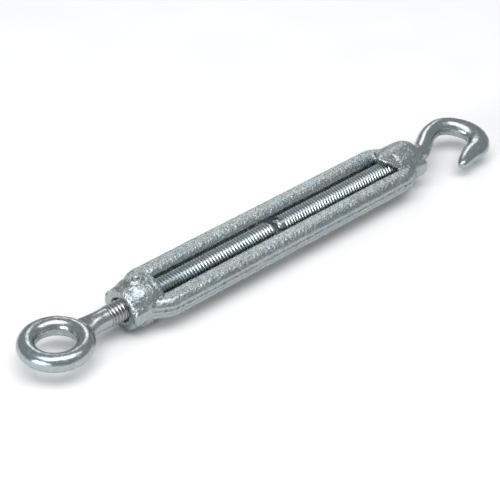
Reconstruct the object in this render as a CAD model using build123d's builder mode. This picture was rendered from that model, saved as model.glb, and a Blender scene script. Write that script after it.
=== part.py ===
from build123d import *
from math import radians, tan
import os

os.makedirs("parts", exist_ok=True)

# The row frame: origin at the centre of the eye, +X along the screw axis to the hook, +Z up.

# M6 coarse thread, cut slack so that it still runs after zinc plating
pitch = 1.0
crest_flat = 0.14
bolt_crest_r = 2.92
bolt_root_r = 2.35
thread_slack = 0.21

# body
body_start = 20.5
body_length = 109.6
body_end = body_start + body_length
left_boss_length = 10.5
right_boss_length = 11.0
boss_collar_r = 5.9
left_boss_r = 6.75
right_boss_r = 6.05
rein_centre_y = 6.9
rein_half_width = 2.7
rein_half_height = 3.0
rein_flat_half = 1.4
boss_side_y = 6.6
boss_side_half = 1.9
flare_start = 5.0
flare_length = 6.6
lip_clear_r = 3.8
left_foot_z = -6.35
right_foot_z = -5.65

# eye bolt
eye_centre_r = 7.4
eye_wire_r = 2.5
eye_land_r = 5.05
eye_shank_r = 2.76
eye_thread_start = 16.2
eye_tip = 73.8

# hook bolt
hook_tip = 75.2
hook_roll = 11.5

# the cores that carry the screw travel
core_r = 1.5
core_hole_r = 1.6
core_length = 44.0
end_r = 2.3
end_length = 1.5
end_chamfer = 0.5


def threaded_rod(start, end):
    """Half section of a threaded rod. Each turn of the thread is drawn as a ring of its true form."""
    flank = (bolt_crest_r - bolt_root_r) * tan(radians(30))
    outline = [(start, 0)]
    x = start
    while x + pitch <= end + 1e-6:
        outline += [
            (x, bolt_root_r),
            (x + flank, bolt_crest_r),
            (x + flank + crest_flat, bolt_crest_r),
            (x + 2 * flank + crest_flat, bolt_root_r),
        ]
        x += pitch
    outline += [(end, bolt_root_r), (end, 0)]
    with BuildSketch(Plane.XZ) as half:
        with BuildLine():
            Polyline(*outline, close=True)
        make_face()
    return half.sketch.face()


def boss_profile(x_face, inward, length, collar_r, crown_r):
    """Half section of a forged boss: rounded collar, crowned middle, rounded inner end."""
    with BuildSketch(Plane.XZ) as half:
        with BuildLine():
            Polyline(
                (x_face + inward * length, 0),
                (x_face, 0),
                (x_face, collar_r - 0.9),
            )
            ThreePointArc(
                (x_face, collar_r - 0.9),
                (x_face + inward * 0.28, collar_r - 0.28),
                (x_face + inward * 1.0, collar_r),
            )
            Spline(
                (x_face + inward * 1.0, collar_r),
                (x_face + inward * 0.45 * length, crown_r),
                (x_face + inward * (length - 2.2), crown_r - 0.25),
                tangents=((inward, 0.05), (inward, -0.2)),
            )
            ThreePointArc(
                (x_face + inward * (length - 2.2), crown_r - 0.25),
                (x_face + inward * (length - 0.55), crown_r - 1.0),
                (x_face + inward * length, crown_r - 2.4),
            )
            Line((x_face + inward * length, crown_r - 2.4), (x_face + inward * length, 0))
        make_face()
    return half.sketch.face()


# ---------------------------------------------------------------- turnbuckle body
arc_rise = rein_half_height - rein_flat_half
flare_end = flare_start + flare_length
boss_rein_y = boss_side_y - rein_half_width
left_boss = boss_profile(body_start, 1, left_boss_length, boss_collar_r, left_boss_r)
right_boss = boss_profile(body_end, -1, right_boss_length, right_boss_r, right_boss_r)
# the ragged lip that the casting left over the screw at the hook end
with BuildPart() as lip:
    with BuildSketch(Plane.XY.offset(2.3)):
        with BuildLine():
            Line((body_end - 8.5, 4.6), (body_end - 8.5, -5.4))
            Line((body_end - 8.5, -5.4), (body_end - 10.6, -5.4))
            Spline(
                (body_end - 10.6, -5.4),
                (body_end - 12.4, -4.3),
                (body_end - 12.9, -3.4),
                (body_end - 14.1, -2.5),
                (body_end - 14.5, -1.3),
                (body_end - 15.1, -0.6),
                (body_end - 13.9, 0.6),
                (body_end - 12.6, 1.5),
                (body_end - 12.3, 2.7),
                (body_end - 10.8, 4.6),
            )
            Line((body_end - 10.8, 4.6), (body_end - 8.5, 4.6))
        make_face()
    extrude(amount=6)
    with BuildSketch(Plane.YZ.offset(body_end - 17)):
        Circle(right_boss_r - 0.2)
        Circle(lip_clear_r, mode=Mode.SUBTRACT)
    extrude(amount=12, mode=Mode.INTERSECT)
with BuildPart() as turnbuckle_body:
    for side in (1, -1):
        with BuildLine() as rein_path:
            Line((body_start + 0.5, side * boss_rein_y), (body_start + flare_start, side * boss_rein_y))
            Spline(
                (body_start + flare_start, side * boss_rein_y),
                (body_start + flare_end, side * rein_centre_y),
                tangents=((1, 0), (1, 0)),
            )
            Line(
                (body_start + flare_end, side * rein_centre_y),
                (body_end - flare_end, side * rein_centre_y),
            )
            Spline(
                (body_end - flare_end, side * rein_centre_y),
                (body_end - flare_start, side * boss_rein_y),
                tangents=((1, 0), (1, 0)),
            )
            Line((body_end - flare_start, side * boss_rein_y), (body_end - 0.5, side * boss_rein_y))
        inner = side * boss_rein_y - rein_half_width
        outer = side * boss_rein_y + rein_half_width
        crown = (side * boss_rein_y, rein_half_height)
        root = (side * boss_rein_y, -rein_half_height)
        with BuildSketch(Plane.YZ.offset(body_start + 0.5)) as rein_section:
            with BuildLine():
                Line((inner, -rein_flat_half), (inner, rein_flat_half))
                ThreePointArc((inner, rein_flat_half), crown, (outer, rein_flat_half))
                Line((outer, rein_flat_half), (outer, -rein_flat_half))
                ThreePointArc((outer, -rein_flat_half), root, (inner, -rein_flat_half))
            make_face()
        sweep(sections=rein_section.sketch, path=rein_path.wire())
    revolve(left_boss, Axis.X)
    revolve(right_boss, Axis.X)
    for face_x, inward in ((body_start, 1), (body_end, -1)):
        with BuildSketch(Plane.XY.offset(-boss_side_half)):
            with Locations((face_x + inward * (0.25 + flare_start / 2), 0)):
                RectangleRounded(flare_start + 0.5, 2 * boss_side_y, 0.9)
        extrude(amount=2 * boss_side_half)
    add(lip.part)
    # the raised moulding mark on the crown of the eye end
    with BuildSketch(Plane.XY.offset(left_boss_r - 1)):
        with Locations((body_start + 5.6, 0.4)):
            Ellipse(1.9, 1.6)
            Circle(0.7, mode=Mode.SUBTRACT)
    extrude(amount=1.2)
    # the tapped holes, bored out to the thread's outer diameter so that the bolts turn clear
    for face_x, inward, length in (
        (body_start, 1, left_boss_length),
        (body_end, -1, right_boss_length),
    ):
        with BuildSketch(Plane.YZ.offset(face_x - inward)):
            Circle(bolt_crest_r + thread_slack)
        extrude(amount=inward * (length + 2), mode=Mode.SUBTRACT)
    for face_x, inward in ((body_start, 1), (body_end, -1)):
        with BuildSketch(Plane.XZ) as mouth:
            with BuildLine():
                Polyline(
                    (face_x - inward * 0.1, 0),
                    (face_x - inward * 0.1, 3.55),
                    (face_x + inward * 0.5, 2.95),
                    (face_x + inward * 0.5, 0),
                    close=True,
                )
            make_face()
        revolve(mouth.sketch.face(), Axis.X, mode=Mode.SUBTRACT)
    # the flats under the bosses, on which the body lies without rolling
    for middle_x, foot_z in ((body_start + 6, left_foot_z), (body_end - 6, right_foot_z)):
        with Locations((middle_x, 0, foot_z)):
            Box(
                14,
                10,
                2,
                align=(Align.CENTER, Align.CENTER, Align.MAX),
                mode=Mode.SUBTRACT,
            )
turnbuckle_body.part.label = "turnbuckle_body"
export_step(turnbuckle_body.part, "parts/turnbuckle_body.step")

# ---------------------------------------------------------------- eye bolt
eye_thread_end = eye_tip - end_length
eye_screw = threaded_rod(eye_thread_start, eye_thread_end)
with BuildPart() as eye_bolt:
    with BuildSketch(Plane.XZ):
        with Locations((eye_centre_r, 0)):
            Circle(eye_wire_r)
    revolve(axis=Axis.Z)
    with BuildSketch(Plane.XY.offset(-eye_wire_r)):
        Circle(eye_land_r)
    extrude(amount=2 * eye_wire_r, mode=Mode.SUBTRACT)
    for x, half_y, half_z in ((8.6, 4.3, 2.2), (10.2, 3.45, 2.5), (11.9, 2.9, 2.72)):
        with BuildSketch(Plane.YZ.offset(x)):
            Ellipse(half_y, half_z)
    with BuildSketch(Plane.YZ.offset(13.3)):
        Circle(eye_shank_r)
    loft()
    with BuildSketch(Plane.YZ.offset(13.3)):
        Circle(eye_shank_r)
    extrude(amount=eye_thread_start - 13.3)
    revolve(eye_screw, Axis.X)
    with BuildSketch(Plane.YZ.offset(eye_thread_end)):
        Circle(core_hole_r)
    extrude(amount=-core_length - 0.5, mode=Mode.SUBTRACT)
eye_bolt.part.label = "eye_bolt"
export_step(eye_bolt.part, "parts/eye_bolt.step")

with BuildPart() as eye_bolt_core:
    with BuildSketch(Plane.YZ.offset(eye_thread_end - core_length)):
        Circle(core_r)
    extrude(amount=core_length)
    with BuildSketch(Plane.YZ.offset(eye_thread_end)):
        Circle(end_r)
    extrude(amount=end_length)
    tip_edge = eye_bolt_core.edges().filter_by(GeomType.CIRCLE).sort_by(Axis.X)[-1]
    chamfer(tip_edge, length=end_chamfer)
eye_bolt_core.part.label = "eye_bolt_core"
export_step(eye_bolt_core.part, "parts/eye_bolt_core.step")

# ---------------------------------------------------------------- hook bolt
hook_thread_start = hook_tip + end_length
hook_plane = Plane.XY.rotated((hook_roll, 0, 0))
# half width in the bend's plane and half thickness across it, at even steps along the bend
hook_sections = (
    (2.7, 2.7),
    (2.7, 2.68),
    (2.64, 2.62),
    (2.56, 2.56),
    (2.5, 2.52),
    (2.5, 2.52),
    (2.66, 2.58),
    (2.92, 2.6),
    (3.18, 2.6),
    (3.3, 2.55),
    (3.0, 2.4),
    (2.45, 2.15),
    (1.95, 1.8),
    (1.3, 1.3),
)
hook_screw = threaded_rod(hook_thread_start, body_end - 0.2)
with BuildPart() as hook_bolt:
    with BuildLine(hook_plane) as bend:
        Spline(
            (body_end - 0.2, 0),
            (body_end + 1.7, 0.0),
            (body_end + 4.2, 0.1),
            (body_end + 6.9, 1.6),
            (body_end + 10.0, 3.45),
            (body_end + 13.2, 4.7),
            (body_end + 16.9, 5.1),
            (body_end + 20.4, 3.75),
            (body_end + 23.0, 0.9),
            (body_end + 24.2, -2.4),
            (body_end + 23.5, -5.6),
            (body_end + 20.9, -7.8),
            (body_end + 16.9, -8.7),
            (body_end + 13.3, -9.7),
            (body_end + 10.2, -10.95),
            tangents=((1, 0), (-1, -0.3)),
        )
    for i, (half_in, half_out) in enumerate(hook_sections):
        t = i / (len(hook_sections) - 1)
        here = Plane(origin=bend.line @ t, x_dir=hook_plane.z_dir, z_dir=bend.line % t)
        with BuildSketch(here):
            Ellipse(half_out, half_in)
    loft()
    revolve(hook_screw, Axis.X)
    with BuildSketch(Plane.YZ.offset(hook_thread_start)):
        Circle(core_hole_r)
    extrude(amount=core_length + 0.5, mode=Mode.SUBTRACT)
hook_bolt.part.label = "hook_bolt"
export_step(hook_bolt.part, "parts/hook_bolt.step")

with BuildPart() as hook_bolt_core:
    with BuildSketch(Plane.YZ.offset(hook_thread_start)):
        Circle(core_r)
    extrude(amount=core_length)
    with BuildSketch(Plane.YZ.offset(hook_tip)):
        Circle(end_r)
    extrude(amount=end_length)
    tip_edge = hook_bolt_core.edges().filter_by(GeomType.CIRCLE).sort_by(Axis.X)[0]
    chamfer(tip_edge, length=end_chamfer)
hook_bolt_core.part.label = "hook_bolt_core"
export_step(hook_bolt_core.part, "parts/hook_bolt_core.step")
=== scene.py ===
from math import atan2, cos, degrees, pi, radians, sin, tan

import bmesh
import bpy
from mathutils import Matrix, Vector


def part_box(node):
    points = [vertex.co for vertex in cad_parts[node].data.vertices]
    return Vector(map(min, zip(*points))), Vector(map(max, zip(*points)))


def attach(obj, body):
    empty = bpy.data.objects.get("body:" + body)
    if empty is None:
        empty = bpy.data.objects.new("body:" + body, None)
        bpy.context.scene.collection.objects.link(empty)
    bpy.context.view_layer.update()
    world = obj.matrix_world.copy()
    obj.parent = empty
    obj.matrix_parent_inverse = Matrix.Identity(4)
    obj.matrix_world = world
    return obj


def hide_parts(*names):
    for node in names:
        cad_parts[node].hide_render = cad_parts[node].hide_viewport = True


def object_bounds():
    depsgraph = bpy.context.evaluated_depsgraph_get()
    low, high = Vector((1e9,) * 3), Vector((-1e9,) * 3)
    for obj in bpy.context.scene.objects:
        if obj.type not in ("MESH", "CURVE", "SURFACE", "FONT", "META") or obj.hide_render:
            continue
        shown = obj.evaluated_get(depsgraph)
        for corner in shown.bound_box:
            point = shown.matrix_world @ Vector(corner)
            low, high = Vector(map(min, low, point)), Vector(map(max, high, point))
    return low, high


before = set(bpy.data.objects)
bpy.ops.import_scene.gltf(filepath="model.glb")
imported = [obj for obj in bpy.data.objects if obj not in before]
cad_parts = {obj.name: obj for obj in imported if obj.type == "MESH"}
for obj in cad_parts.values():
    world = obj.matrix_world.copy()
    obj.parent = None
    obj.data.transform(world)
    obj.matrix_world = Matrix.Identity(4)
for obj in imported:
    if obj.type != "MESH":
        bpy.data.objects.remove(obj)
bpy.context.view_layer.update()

# ------------------------------------------------------------------ turnbuckle body
# The open body is one malleable iron casting: a boss at each end and two flat-sided reins
# between them. It is sand cast, so its skin is grainy and its edges soft, then the bosses
# are bored and tapped, one right-hand and one left-hand, and the whole is zinc plated.
MM = 0.001  # pieces are shaped in millimetres and brought to metres when they are done


def only(*pieces):
    """Selects these pieces and nothing else, the first one active."""
    bpy.ops.object.select_all(action="DESELECT")
    for piece in pieces:
        piece.select_set(True)
    bpy.context.view_layer.objects.active = pieces[0]


def pick(piece, test):
    """In edit mode, selects the faces of a piece whose middle passes the test."""
    bpy.ops.mesh.select_all(action="DESELECT")
    bpy.ops.mesh.select_mode(type="FACE")
    mesh = bmesh.from_edit_mesh(piece.data)
    for face in mesh.faces:
        if test(face.calc_center_median()):
            face.select_set(True)
    bmesh.update_edit_mesh(piece.data)


def turn_about_z(degrees_turned, centre):
    """Turns what is selected. With no window the operator turns the other way, hence the minus."""
    bpy.ops.transform.rotate(
        value=-radians(degrees_turned), orient_axis="Z", center_override=centre
    )


def draw_out(name, stations, flat=None, points=48):
    """Draws a bar out of a disc. A station is x, y, turn in degrees, half width, half height."""
    bpy.ops.object.select_all(action="DESELECT")
    bpy.ops.mesh.primitive_circle_add(
        vertices=points, radius=1, fill_type="NGON", rotation=(0, pi / 2, 0)
    )
    bar = bpy.context.object
    bar.name = name
    bpy.ops.object.transform_apply(rotation=True)
    bpy.ops.object.mode_set(mode="EDIT")
    bpy.ops.mesh.select_mode(type="FACE")
    bpy.ops.mesh.select_all(action="SELECT")
    if flat:
        for cut in ((0, flat, 0), (0, -flat, 0), (0, 0, flat), (0, 0, -flat)):
            bpy.ops.mesh.bisect(plane_co=cut, plane_no=cut, clear_outer=True)
            bpy.ops.mesh.select_all(action="SELECT")
    x, y, turn, across, up = stations[0]
    bpy.ops.transform.resize(value=(1, across, up), center_override=(0, 0, 0))
    turn_about_z(turn, (0, 0, 0))
    bpy.ops.transform.translate(value=(x, y, 0))
    for next_x, next_y, next_turn, next_across, next_up in stations[1:]:
        bpy.ops.mesh.extrude_region_move(
            TRANSFORM_OT_translate={"value": (next_x - x, next_y - y, 0)}
        )
        x, y = next_x, next_y
        turn_about_z(-turn, (x, y, 0))
        bpy.ops.transform.resize(
            value=(1, next_across / across, next_up / up), center_override=(x, y, 0)
        )
        turn_about_z(next_turn, (x, y, 0))
        turn, across, up = next_turn, next_across, next_up
    bpy.ops.mesh.select_all(action="SELECT")
    bpy.ops.mesh.normals_make_consistent(inside=False)
    bpy.ops.object.mode_set(mode="OBJECT")
    return bar


def lathe(name, profile, points=96):
    """A turned shape about the screw axis, from its x and radius pairs."""
    return draw_out(name, [(x, 0, 0, r, r) for x, r in profile], points=points)


def add_modifier(piece, kind, **settings):
    modifier = piece.modifiers.new(kind.lower(), kind)
    for key, value in settings.items():
        setattr(modifier, key, value)
    return modifier


def apply_modifiers(piece):
    only(piece)
    for modifier in list(piece.modifiers):
        bpy.ops.object.modifier_apply(modifier=modifier.name)


def join(name, *pieces):
    only(*pieces)
    bpy.ops.object.join()
    joined = bpy.context.object
    joined.name = name
    joined.data.name = name
    return joined


def grain(name, kind, size, **settings):
    """A procedural texture that roughens a skin. Size is in millimetres."""
    texture = bpy.data.textures.new(name, kind)
    texture.noise_scale = size
    for key, value in settings.items():
        setattr(texture, key, value)
    return texture


def to_metres(piece):
    only(piece)
    piece.scale = (MM, MM, MM)
    bpy.ops.object.transform_apply(location=True, rotation=True, scale=True)


def wind(name, form, turns, hand, closed=False):
    """Winds a form, drawn as x and radius pairs, about the screw axis at 1 mm a turn."""
    bpy.ops.object.select_all(action="DESELECT")
    bpy.ops.mesh.primitive_plane_add(size=1)
    wound = bpy.context.object
    wound.name = name
    bpy.ops.object.mode_set(mode="EDIT")
    bpy.ops.mesh.select_mode(type="VERT")
    bpy.ops.mesh.select_all(action="SELECT")
    bpy.ops.mesh.merge(type="CENTER")
    bpy.ops.transform.translate(value=(*form[0], 0))
    for (x, r), (next_x, next_r) in zip(form, form[1:]):
        bpy.ops.mesh.extrude_region_move(
            TRANSFORM_OT_translate={"value": (next_x - x, next_r - r, 0)}
        )
    if closed:
        bpy.ops.mesh.select_all(action="SELECT")
        bpy.ops.mesh.remove_doubles(threshold=0.002)
    bpy.ops.object.mode_set(mode="OBJECT")
    add_modifier(
        wound,
        "SCREW",
        axis="X",
        angle=2 * pi * hand,
        screw_offset=1.0,
        iterations=turns,
        steps=40,
        render_steps=40,
    )
    apply_modifiers(wound)
    return wound


def screw_thread(name, start, end, hand, crest_r, root_r, crest_flat):
    """One pitch of the thread form, wound along X and cut square at both ends."""
    flank = (crest_r - root_r) * tan(radians(30))
    deep = crest_r - root_r
    form = [
        (0, crest_r),
        (crest_flat * 0.45, crest_r - 0.02 * deep),
        (crest_flat / 2 + 0.25 * flank, crest_r - 0.2 * deep),
        (crest_flat / 2 + 0.75 * flank, root_r + 0.2 * deep),
        (crest_flat / 2 + 1.15 * flank, root_r + 0.03 * deep),
        (0.5, root_r - 0.01),
    ]
    form += [(1 - x, r) for x, r in form[-2::-1]]
    first = round(start) - 2
    thread = wind(name, [(first + x, r) for x, r in form], round(end - start) + 4, hand)
    bpy.ops.object.mode_set(mode="EDIT")
    bpy.ops.mesh.select_all(action="SELECT")
    bpy.ops.mesh.remove_doubles(threshold=0.002)
    for place, behind in ((start, True), (end, False)):
        bpy.ops.mesh.select_all(action="SELECT")
        bpy.ops.mesh.bisect(
            plane_co=(place, 0, 0),
            plane_no=(1, 0, 0),
            clear_inner=behind,
            clear_outer=not behind,
            use_fill=True,
        )
    bpy.ops.mesh.select_all(action="SELECT")
    bpy.ops.mesh.normals_make_consistent(inside=False)
    bpy.ops.object.mode_set(mode="OBJECT")
    return thread


body_low, body_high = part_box("turnbuckle_body")
body_start, body_end = body_low.x / MM, body_high.x / MM
rein_y, boss_rein_y = 6.75, 3.75  # off the axis, along the slot and beside the bosses
rein_half_width, rein_half_height = 2.8, 3.0
rein_flat = 0.91  # how much of the round section its flats leave
flare_start, flare_length = 5.0, 6.6
flare_steps = 12

# one rein, drawn out along its double bend, and its mirror image
rein_path = [(body_start + 0.6, boss_rein_y, 0)]
for i in range(flare_steps + 1):
    t = i / flare_steps
    rise = (rein_y - boss_rein_y) * t * t * (3 - 2 * t)
    slope = (rein_y - boss_rein_y) * 6 * t * (1 - t) / flare_length
    rein_path.append(
        (body_start + flare_start + flare_length * t, boss_rein_y + rise, degrees(atan2(slope, 1)))
    )
rein_path += [(body_start + body_end - x, y, -turn) for x, y, turn in rein_path[::-1]]
reins = []
for side in (1, -1):
    reins.append(
        draw_out(
            "rein",
            [
                (x, side * y, side * turn, rein_half_width / rein_flat, rein_half_height / rein_flat)
                for x, y, turn in rein_path
            ],
            flat=rein_flat,
            points=64,
        )
    )
    # the fin of flash that the two halves of the mould left along its outer side
    reins.append(
        draw_out(
            "flash",
            [
                (
                    x - rein_half_width * sin(radians(turn)),
                    side * (y + rein_half_width * cos(radians(turn))),
                    side * turn,
                    0.32,
                    0.42,
                )
                for x, y, turn in rein_path[2:-2]
            ],
            points=16,
        )
    )

# the bosses: a collar at the eye end that swells to a crown, a plain rounded barrel at the hook
eye_boss = lathe(
    "eye_boss",
    [
        (body_start + 0.02, 4.6),
        (body_start + 0.1, 5.2),
        (body_start + 0.4, 5.7),
        (body_start + 1.0, 5.98),
        (body_start + 2.2, 6.05),
        (body_start + 3.0, 6.3),
        (body_start + 3.8, 6.65),
        (body_start + 5.2, 6.8),
        (body_start + 7.5, 6.7),
        (body_start + 8.6, 6.45),
        (body_start + 8.9, 6.6),
        (body_start + 9.9, 6.5),
        (body_start + 10.4, 6.0),
        (body_start + 10.55, 4.6),
    ],
)
hook_boss = lathe(
    "hook_boss",
    [
        (body_end - 0.02, 3.9),
        (body_end - 0.2, 4.7),
        (body_end - 0.8, 5.4),
        (body_end - 1.9, 5.95),
        (body_end - 3.4, 6.2),
        (body_end - 7.5, 6.25),
        (body_end - 9.6, 6.15),
        (body_end - 10.6, 5.8),
        (body_end - 11.0, 4.8),
    ],
)

# flat cheeks where the sides of the bosses meet the mould's parting line
cheeks = []
for face_x, inward in ((body_start, 1), (body_end, -1)):
    bpy.ops.object.select_all(action="DESELECT")
    bpy.ops.mesh.primitive_cube_add(size=1, location=(face_x + inward * 3.0, 0, 0))
    cheek = bpy.context.object
    cheek.scale = (5.9, 13.2, 3.8)
    bpy.ops.object.transform_apply(location=True, scale=True)
    add_modifier(cheek, "BEVEL", width=0.8, segments=4)
    apply_modifiers(cheek)
    cheeks.append(cheek)

# the ragged lip that ran out over the slot from the hook-end boss
lip_start, lip_length, lip_cell = body_end - 16.2, 8, 0.25
lip_underside = 2.4
bpy.ops.object.select_all(action="DESELECT")
bpy.ops.mesh.primitive_cylinder_add(
    vertices=128,
    radius=5.95,
    depth=lip_length,
    end_fill_type="NOTHING",
    location=(lip_start + lip_length / 2, 0, 0),
    rotation=(0, pi / 2, 0),
)
lip = bpy.context.object
bpy.ops.object.transform_apply(location=True, rotation=True)
bpy.ops.object.mode_set(mode="EDIT")
for i in range(1, round(lip_length / lip_cell)):
    bpy.ops.mesh.select_all(action="SELECT")
    bpy.ops.mesh.bisect(plane_co=(lip_start + i * lip_cell, 0, 0), plane_no=(1, 0, 0))
lip_edge = (
    (-6.0, 10.4),
    (-5.0, 11.0),
    (-4.3, 12.4),
    (-3.4, 12.9),
    (-2.5, 14.1),
    (-1.3, 14.5),
    (-0.6, 15.1),
    (0.6, 13.9),
    (1.5, 12.6),
    (2.7, 12.3),
    (4.6, 10.8),
    (6.0, 10.4),
)


def reach(y):
    """How far in from the end face the lip reaches over the slot, at each y."""
    for (y0, r0), (y1, r1) in zip(lip_edge, lip_edge[1:]):
        if y0 <= y <= y1:
            return r0 + (r1 - r0) * (y - y0) / (y1 - y0)
    return 0


pick(lip, lambda c: c.z < lip_underside or body_end - c.x > reach(c.y))
bpy.ops.mesh.delete(type="FACE")
bpy.ops.object.mode_set(mode="OBJECT")
add_modifier(lip, "SOLIDIFY", thickness=1.9, offset=-1)
apply_modifiers(lip)

# the raised ring that the moulding left on the crown of the eye end
bpy.ops.object.select_all(action="DESELECT")
bpy.ops.mesh.primitive_torus_add(
    major_radius=1.3,
    minor_radius=0.48,
    major_segments=40,
    minor_segments=12,
    location=(body_start + 5.6, 0.4, 6.7),
)
mark = bpy.context.object
mark.scale = (1.15, 0.9, 0.9)
bpy.ops.object.transform_apply(location=True, scale=True)

# a spur of flash on the near side of the hook-end face
spur = draw_out(
    "spur",
    [
        (body_end - 1.2, -5.2, 0, 0.9, 0.6),
        (body_end - 0.3, -5.5, -10, 0.6, 0.45),
        (body_end + 0.35, -5.75, -20, 0.12, 0.12),
    ],
    points=12,
)

casting = join("body_casting", *reins, eye_boss, hook_boss, *cheeks, lip, mark, spur)
add_modifier(casting, "REMESH", mode="VOXEL", voxel_size=0.25)
add_modifier(casting, "SMOOTH", factor=0.5, iterations=2)
add_modifier(
    casting,
    "DISPLACE",
    texture=grain("cast_swell", "CLOUDS", 3.2, noise_depth=2),
    texture_coords="LOCAL",
    strength=0.14,
    mid_level=0.5,
)
add_modifier(
    casting,
    "DISPLACE",
    texture=grain("cast_grain", "CLOUDS", 0.7, noise_depth=2),
    texture_coords="LOCAL",
    strength=0.2,
    mid_level=0.5,
)
apply_modifiers(casting)

# bored, with a shallow countersink at each mouth
cutters = []
for face_x, inward, length in ((body_start, 1, 10.55), (body_end, -1, 11.0)):
    cutters.append(
        lathe(
            "bore",
            [
                (face_x - inward * 1.0, 3.9),
                (face_x + inward * 0.1, 3.55),
                (face_x + inward * 0.55, 3.13),
                (face_x + inward * (length + 1.5), 3.13),
            ],
            points=64,
        )
    )

# and flat under each boss, so that it lies without rolling
eye_foot_z, hook_foot_z = -6.35, -5.65
for middle_x, foot_z in ((body_start + 6, eye_foot_z), (body_end - 6, hook_foot_z)):
    bpy.ops.object.select_all(action="DESELECT")
    bpy.ops.mesh.primitive_cube_add(size=1, location=(middle_x, 0, foot_z - 1))
    trim = bpy.context.object
    trim.scale = (14, 10, 2)
    bpy.ops.object.transform_apply(location=True, scale=True)
    cutters.append(trim)
for cutter in cutters:
    add_modifier(casting, "BOOLEAN", operation="DIFFERENCE", object=cutter, solver="EXACT")
apply_modifiers(casting)
for cutter in cutters:
    bpy.data.objects.remove(cutter)

# the tapped threads: one ridge wound along each bore, in the roots of the bolt's thread
ridges = []
for first, hand in ((round(body_start + 1), 1), (round(body_end - 10), -1)):
    ridge = wind(
        "tapped_ridge",
        [
            (first + 0.14, 3.25),
            (first + 0.45, 2.57),
            (first + 0.55, 2.57),
            (first + 0.86, 3.25),
            (first + 0.14, 3.25),
        ],
        8,
        hand,
        closed=True,
    )
    bpy.ops.object.mode_set(mode="EDIT")
    bpy.ops.mesh.select_all(action="SELECT")
    bpy.ops.mesh.fill_holes(sides=0)
    bpy.ops.mesh.select_all(action="SELECT")
    bpy.ops.mesh.normals_make_consistent(inside=False)
    bpy.ops.object.mode_set(mode="OBJECT")
    ridges.append(ridge)
turnbuckle = join("turnbuckle_casting", casting, *ridges)
only(turnbuckle)
bpy.ops.object.shade_smooth()
to_metres(turnbuckle)


class Shade:
    """A socket of a material's node tree. Python's own operators on it add Math nodes."""

    def __init__(self, tree, socket=None):
        self.tree = tree
        self.socket = socket

    def node(self, kind, settings=None, sockets=None, out=0):
        """Adds a node of a kind: first its settings, then its sockets' values or links."""
        made = self.tree.nodes.new(kind)
        for key, value in (settings or {}).items():
            if key == "stops":
                ramp = made.color_ramp.elements
                while len(ramp) < len(value):
                    ramp.new(0.5)
                for stop, (place, shade) in zip(ramp, value):
                    stop.position = place
                    stop.color = shade if len(shade) == 4 else (*shade, 1)
            else:
                setattr(made, key, value)
        for key, value in (sockets or {}).items():
            if isinstance(value, Shade):
                self.tree.links.new(value.socket, made.inputs[key])
            else:
                made.inputs[key].default_value = value
        return None if out is None else Shade(self.tree, made.outputs[out])

    def maths(self, operation, a, b):
        return self.node("ShaderNodeMath", {"operation": operation}, {0: a, 1: b})

    def __add__(self, other):
        return self.maths("ADD", self, other)

    def __mul__(self, other):
        return self.maths("MULTIPLY", self, other)

    def __rsub__(self, other):
        return self.maths("SUBTRACT", other, self)

    __radd__ = __add__
    __rmul__ = __mul__


def zinc_plate(name, roughness, roughness_spread, grain_size, grain_height, pit_height):
    """Bright zinc plate with the faint blue, straw and violet bloom of its clear passivation."""
    material = bpy.data.materials.new(name)
    material.use_nodes = True
    tree = material.node_tree
    tree.nodes.clear()
    start = Shade(tree)
    place = start.node("ShaderNodeTexCoord", out="Object")
    bloom = start.node(
        "ShaderNodeTexNoise", None, {"Vector": place, "Scale": 170, "Detail": 3, "Roughness": 0.6}
    )
    film = start.node(
        "ShaderNodeValToRGB",
        {
            "stops": (
                (0.30, (0.40, 0.48, 0.53)),
                (0.42, (0.45, 0.52, 0.55)),
                (0.52, (0.49, 0.54, 0.53)),
                (0.62, (0.47, 0.49, 0.50)),
                (0.74, (0.43, 0.43, 0.48)),
            )
        },
        {"Fac": bloom},
    )
    skin = start.node(
        "ShaderNodeTexNoise",
        None,
        {"Vector": place, "Scale": 1 / (grain_size * MM), "Detail": 5, "Roughness": 0.62},
    )
    crystals = start.node(
        "ShaderNodeTexVoronoi",
        {"feature": "F1"},
        {"Vector": place, "Scale": 1.3 / (grain_size * MM), "Randomness": 1.0},
    )
    pits = start.node(
        "ShaderNodeValToRGB",
        {"stops": ((0.0, (0, 0, 0)), (0.36, (0, 0, 0)), (0.47, (1, 1, 1)))},
        {
            "Fac": start.node(
                "ShaderNodeTexNoise",
                None,
                {"Vector": place, "Scale": 950, "Detail": 2, "Roughness": 0.5},
            )
        },
    )
    # the colour is lightened along sharp outer edges as worn plate, and darkened to about a third in
    # creases and hollows, which is painted shade
    edge = start.node("ShaderNodeNewGeometry", out="Pointiness")
    edge_wear_and_crease_shade = start.node(
        "ShaderNodeValToRGB",
        {"stops": ((0.44, (0.35, 0.35, 0.35)), (0.5, (0.8, 0.8, 0.8)), (0.58, (1, 1, 1)))},
        {"Fac": edge},
    )
    colour = start.node(
        "ShaderNodeMix",
        {"data_type": "RGBA", "blend_type": "MULTIPLY"},
        {0: 1.0, 6: film, 7: edge_wear_and_crease_shade},
        out=2,
    )
    rough = roughness + roughness_spread * skin + 0.12 * (1 - pits)
    height = grain_height * skin + 0.35 * grain_height * crystals + pit_height * pits
    bump = start.node(
        "ShaderNodeBump", None, {"Strength": 1.0, "Distance": MM, "Height": height}
    )
    metal = start.node(
        "ShaderNodeBsdfPrincipled",
        None,
        {"Base Color": colour, "Metallic": 1.0, "Roughness": rough, "Normal": bump},
    )
    start.node("ShaderNodeOutputMaterial", None, {"Surface": metal}, out=None)
    return material


turnbuckle.data.materials.clear()
turnbuckle.data.materials.append(zinc_plate("zinc_on_casting", 0.15, 0.22, 0.5, 0.1, 0.03))
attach(turnbuckle, "body")
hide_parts("turnbuckle_body")

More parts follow.
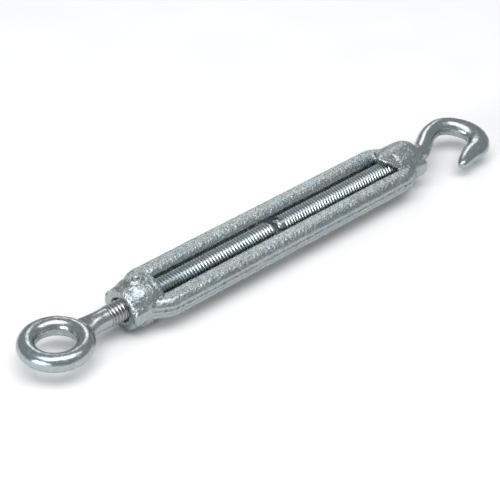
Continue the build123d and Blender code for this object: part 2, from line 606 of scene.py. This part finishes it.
# ------------------------------------------------------------------ eye bolt
# Round steel, forged into a closed ring at one end and drawn down to a smooth shank, with a
# right-hand M6 thread rolled on the rest. It is plated with the body and screws into the boss.
ring_r, wire_r, shank_r = 7.4, 2.5, 2.76
bolt_crest, bolt_root, bolt_flat = 2.92, 2.35, 0.14
thread_start = 16.2
eye_thread_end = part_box("eye_bolt")[1].x / MM
bpy.ops.object.select_all(action="DESELECT")
bpy.ops.mesh.primitive_torus_add(
    major_radius=ring_r, minor_radius=wire_r, major_segments=128, minor_segments=48
)
ring = bpy.context.object
shank = draw_out(
    "shank",
    [
        (7.2, 0, 0, 4.6, 1.7),
        (8.6, 0, 0, 4.2, 2.15),
        (9.6, 0, 0, 3.6, 2.4),
        (10.6, 0, 0, 3.2, 2.58),
        (11.8, 0, 0, 2.9, 2.7),
        (13.2, 0, 0, shank_r, shank_r),
        (thread_start - 0.1, 0, 0, shank_r, shank_r),
        (thread_start + 0.3, 0, 0, 2.5, 2.5),
    ],
    points=64,
)
eye = join("eye_forging", ring, shank)
add_modifier(eye, "REMESH", mode="VOXEL", voxel_size=0.2)
add_modifier(eye, "SMOOTH", factor=0.5, iterations=8)
forge_swell = grain("forge_swell", "CLOUDS", 2.6, noise_depth=1)
add_modifier(
    eye, "DISPLACE", texture=forge_swell, texture_coords="LOCAL", strength=0.1, mid_level=0.5
)
apply_modifiers(eye)
eye_thread = screw_thread(
    "eye_thread", thread_start, eye_thread_end, 1, bolt_crest, bolt_root, bolt_flat
)
eye_screw = join("eye_screw", eye, eye_thread)
only(eye_screw)
bpy.ops.object.shade_smooth_by_angle(angle=radians(40))
to_metres(eye_screw)
forged_zinc = zinc_plate("zinc_on_forging", 0.17, 0.12, 0.8, 0.004, 0.001)
eye_screw.data.materials.clear()
eye_screw.data.materials.append(forged_zinc)
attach(eye_screw, "eye")
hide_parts("eye_bolt")

# ------------------------------------------------------------------ hook bolt
# The same round steel, forged to a thick-backed hook with a blunt beak, with a left-hand
# thread, so that turning the body draws both screws in at once.
hook_roll = 11.5
# x from the body's end, y, half width and half thickness at points along the bend
hook_line = (
    (-2.0, 0.0, 2.66, 2.66),
    (0.8, 0.0, 2.7, 2.7),
    (2.4, 0.0, 2.7, 2.68),
    (4.2, 0.1, 2.68, 2.66),
    (6.9, 1.6, 2.62, 2.6),
    (10.0, 3.45, 2.5, 2.52),
    (13.2, 4.7, 2.45, 2.5),
    (16.9, 5.1, 2.5, 2.52),
    (20.4, 3.75, 2.7, 2.58),
    (23.0, 0.9, 2.95, 2.6),
    (24.2, -2.4, 3.2, 2.6),
    (23.5, -5.6, 3.3, 2.55),
    (20.9, -7.8, 3.25, 2.4),
    (16.9, -8.6, 2.75, 2.15),
    (13.3, -9.7, 2.1, 1.8),
    (11.0, -10.6, 1.5, 1.45),
    (10.2, -10.95, 0.9, 0.9),
)
last_knot = len(hook_line) - 1
span_steps = 5
hook_stations = []
heading = 0
for i in range(last_knot * span_steps + 1):
    knot = min(i // span_steps, last_knot - 1)
    t = i / span_steps - knot
    around = (hook_line[min(max(knot + k, 0), last_knot)] for k in (-1, 0, 1, 2))
    here, ahead = [], []
    for a, b, c, d in zip(*around):
        curve = 2 * a - 5 * b + 4 * c - d
        twist = 3 * b - a + d - 3 * c
        here.append(b + t * ((c - a) + t * (curve + t * twist)) / 2)
        ahead.append((c - a) / 2 + t * curve + 1.5 * t * t * twist)
    angle = degrees(atan2(ahead[1], ahead[0]))
    heading = angle - 360 * round((angle - heading) / 360)
    hook_stations.append((body_end + here[0], here[1], heading, here[2], here[3]))
hook = draw_out("hook_forging", hook_stations, points=48)
hook.rotation_euler = (radians(hook_roll), 0, 0)
only(hook)
bpy.ops.object.transform_apply(rotation=True)
add_modifier(hook, "REMESH", mode="VOXEL", voxel_size=0.2)
add_modifier(hook, "SMOOTH", factor=0.5, iterations=5)
add_modifier(
    hook, "DISPLACE", texture=forge_swell, texture_coords="LOCAL", strength=0.1, mid_level=0.5
)
apply_modifiers(hook)
hook_screw_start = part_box("hook_bolt")[0].x / MM
hook_thread = screw_thread(
    "hook_thread", hook_screw_start, body_end - 0.4, -1, bolt_crest, bolt_root, bolt_flat
)
hook_screw = join("hook_screw", hook, hook_thread)
only(hook_screw)
bpy.ops.object.shade_smooth_by_angle(angle=radians(40))
to_metres(hook_screw)
hook_screw.data.materials.clear()
hook_screw.data.materials.append(forged_zinc)
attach(hook_screw, "hook")
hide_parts("hook_bolt")

# ------------------------------------------------------------------ screw ends
# The sheared and chamfered ends of the two screws, which meet with a small gap in the
# middle of the open body. Each has the shallow dimple that cropping the bar leaves.
for end_name, carrier, node, inward, tip in (
    ("eye_screw_end", "eye_carrier", "eye_bolt_core", 1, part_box("eye_bolt_core")[1].x / MM),
    ("hook_screw_end", "hook_carrier", "hook_bolt_core", -1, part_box("hook_bolt_core")[0].x / MM),
):
    end = lathe(
        end_name,
        [
            (tip - inward * 1.6, 2.2),
            (tip - inward * 0.6, 2.3),
            (tip - inward * 0.5, 2.26),
            (tip - inward * 0.05, 1.84),
            (tip, 1.76),
            (tip, 1.3),
            (tip - inward * 0.06, 0.9),
            (tip - inward * 0.16, 0.3),
        ],
        points=48,
    )
    only(end)
    bpy.ops.object.shade_smooth_by_angle(angle=radians(35))
    to_metres(end)
    end.data.materials.clear()
    end.data.materials.append(forged_zinc)
    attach(end, carrier)
    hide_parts(node)

# ------------------------------------------------------------------ studio
# A plain pale bench, a large soft light overhead, one at the left and a weak one behind.
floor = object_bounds()[0][2]
bpy.ops.object.select_all(action="DESELECT")
bpy.ops.mesh.primitive_plane_add(size=6, location=(0.075, 0, floor - 0.0002))
bench = bpy.context.object
bench.name = "bench"
bench_paint = bpy.data.materials.new("bench_paint")
bench_paint.use_nodes = True
paint = Shade(bench_paint.node_tree)
mottle = paint.node(
    "ShaderNodeTexNoise",
    None,
    {"Vector": paint.node("ShaderNodeTexCoord", out="Object"), "Scale": 40, "Detail": 2},
)
paint_colour = paint.node(
    "ShaderNodeValToRGB",
    {"stops": ((0.3, (0.93, 0.93, 0.93)), (0.7, (0.96, 0.96, 0.96)))},
    {"Fac": mottle},
)
principled = bench_paint.node_tree.nodes["Principled BSDF"]
bench_paint.node_tree.links.new(paint_colour.socket, principled.inputs["Base Color"])
principled.inputs["Roughness"].default_value = 0.9
bench.data.materials.append(bench_paint)


def soft_light(name, place, aim, size, power):
    light = bpy.data.lights.new(name, "AREA")
    light.shape = "RECTANGLE"
    light.size, light.size_y = size
    light.energy = power
    lamp = bpy.data.objects.new(name, light)
    bpy.context.scene.collection.objects.link(lamp)
    lamp.location = place
    lamp.rotation_euler = (Vector(place) - Vector(aim)).to_track_quat("Z", "Y").to_euler()


middle = (0.075, 0, 0)
soft_light("overhead", (0.0, -0.12, 0.6), middle, (0.8, 0.4), 2.9)
soft_light("left", (-0.6, -0.1, 0.2), middle, (0.3, 0.2), 2.4)
soft_light("back", (0.47, 0.41, 0.42), middle, (0.25, 0.25), 0.45)
world = bpy.data.worlds.new("studio")
bpy.context.scene.world = world
world.use_nodes = True
world.node_tree.nodes["Background"].inputs["Color"].default_value = (0.88, 0.9, 0.92, 1)
world.node_tree.nodes["Background"].inputs["Strength"].default_value = 0.46
bpy.context.scene.view_settings.view_transform = "Standard"

view_from, view_down, view_roll = radians(-44.12), radians(35.23), radians(1.36)
turned = (
    Matrix.Rotation(view_from, 4, "Z")
    @ Matrix.Rotation(pi / 2 - view_down, 4, "X")
    @ Matrix.Rotation(view_roll, 4, "Z")
)
body_middle = Vector(((body_start + body_end + 0.4) / 2 * MM, 0, 0))
seen_at = Vector((7.068, 5.888, -458.93)) * MM  # from the camera: right, up, behind
lens = bpy.data.cameras.new("camera")
lens.sensor_width = 36
lens.lens = 121.55112
lens.clip_start = 0.01
camera = bpy.data.objects.new("camera", lens)
bpy.context.scene.collection.objects.link(camera)
camera.matrix_world = Matrix.Translation(body_middle - turned.to_3x3() @ seen_at) @ turned
bpy.context.scene.camera = camera
